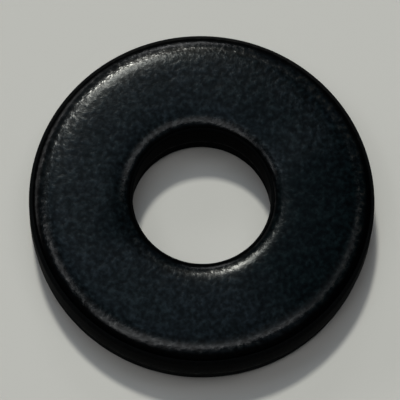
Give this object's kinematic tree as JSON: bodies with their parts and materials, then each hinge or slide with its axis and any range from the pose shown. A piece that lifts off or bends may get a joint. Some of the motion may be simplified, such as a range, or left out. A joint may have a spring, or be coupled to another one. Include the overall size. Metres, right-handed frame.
{
  "type": "flat washer",
  "caption": "Thick blackened steel flat washer with rolled upper edges; spreads a bolt head's or nut's load around the bolt.",
  "frame": {"origin": "centre of the underside, on the bolt's axis", "axes": "+Z along the bolt, from the flat underside to the face with the rounded shoulders; X and Y lie in the underside"},
  "size_m": [0.021, 0.021, 0.004],
  "materials": {
    "black_oxide_steel": "satin"
  },
  "bodies": {
    "root": {"washer": "black_oxide_steel"}
  },
  "joints": []
}
